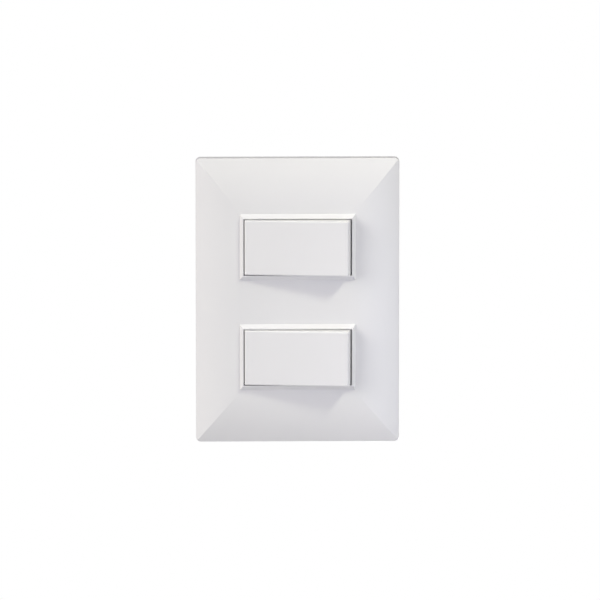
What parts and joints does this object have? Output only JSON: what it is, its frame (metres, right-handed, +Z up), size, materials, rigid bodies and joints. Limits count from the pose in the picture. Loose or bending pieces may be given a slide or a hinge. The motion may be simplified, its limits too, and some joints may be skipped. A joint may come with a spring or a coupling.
{
  "type": "light switch",
  "caption": "Wall light switch: a white bevelled cover plate with rocker keys in raised collars, on a mounting frame that holds snap-in switch modules with screw terminals.",
  "frame": {"origin": "midway between the two box screws, on the wall's face", "axes": "+X right as seen from the room, +Y into the wall, +Z up"},
  "size_m": [0.082, 0.0378, 0.116],
  "materials": {
    "plate_plastic": "satin white moulding",
    "key_plastic": "satin white moulding",
    "frame_plastic": "light grey moulding",
    "body_plastic": "off-white moulding",
    "cover_plastic": "off-white moulding",
    "plunger_plastic": "natural nylon",
    "terminal_brass": "bright",
    "bridge_copper": "bright",
    "contact_metal": "silver alloy",
    "plated_steel": "zinc plated",
    "spring_steel": "drawn wire"
  },
  "bodies": {
    "root": {"cover_plate": "plate_plastic", "mounting_frame": "frame_plastic", "box_screws": "plated_steel", "upper_switch_body": "body_plastic", "upper_switch_cover": "cover_plastic", "upper_common_terminal": "terminal_brass", "upper_load_terminal": "terminal_brass", "upper_fixed_contact": "contact_metal", "upper_terminal_screws": "plated_steel", "lower_switch_body": "body_plastic", "lower_switch_cover": "cover_plastic", "lower_common_terminal": "terminal_brass", "lower_load_terminal": "terminal_brass", "lower_fixed_contact": "contact_metal", "lower_terminal_screws": "plated_steel"},
    "upper_rocker": {"upper_rocker": "key_plastic", "upper_plunger_spring": "spring_steel"},
    "upper_plunger": {"upper_plunger": "plunger_plastic"},
    "upper_bridge": {"upper_contact_bridge": "bridge_copper", "upper_moving_contact": "contact_metal"},
    "lower_rocker": {"lower_rocker": "key_plastic", "lower_plunger_spring": "spring_steel"},
    "lower_plunger": {"lower_plunger": "plunger_plastic"},
    "lower_bridge": {"lower_contact_bridge": "bridge_copper", "lower_moving_contact": "contact_metal"}
  },
  "joints": [
    {"name": "upper_rocker_tilt", "type": "hinge", "parent": "root", "child": "upper_rocker", "pos_m": [0, -0.0076, 0.0225], "axis": [0, 0, 1], "range_deg": [0, 13]},
    {"name": "upper_plunger_slide", "type": "slide", "parent": "upper_rocker", "child": "upper_plunger", "axis": [-0.1132, -0.9936, 0], "range_m": [0, 0.0005], "stiffness_N_per_m": 400, "springref_m": -0.001, "deforming": ["upper_plunger_spring"]},
    {"name": "upper_bridge_rock", "type": "hinge", "parent": "root", "child": "upper_bridge", "pos_m": [0, 0.0046, 0.0225], "axis": [0, 0, 1], "range_deg": [-14, 0]},
    {"name": "lower_rocker_tilt", "type": "hinge", "parent": "root", "child": "lower_rocker", "pos_m": [0, -0.0076, -0.0225], "axis": [0, 0, 1], "range_deg": [0, 13]},
    {"name": "lower_plunger_slide", "type": "slide", "parent": "lower_rocker", "child": "lower_plunger", "axis": [-0.1132, -0.9936, 0], "range_m": [0, 0.0005], "stiffness_N_per_m": 400, "springref_m": -0.001, "deforming": ["lower_plunger_spring"]},
    {"name": "lower_bridge_rock", "type": "hinge", "parent": "root", "child": "lower_bridge", "pos_m": [0, 0.0046, -0.0225], "axis": [0, 0, 1], "range_deg": [-14, 0]}
  ],
  "couplings": [
    {"joint": "upper_bridge_rock", "follows": "upper_rocker_tilt", "ratio": -1.0769},
    {"joint": "lower_bridge_rock", "follows": "lower_rocker_tilt", "ratio": -1.0769}
  ]
}
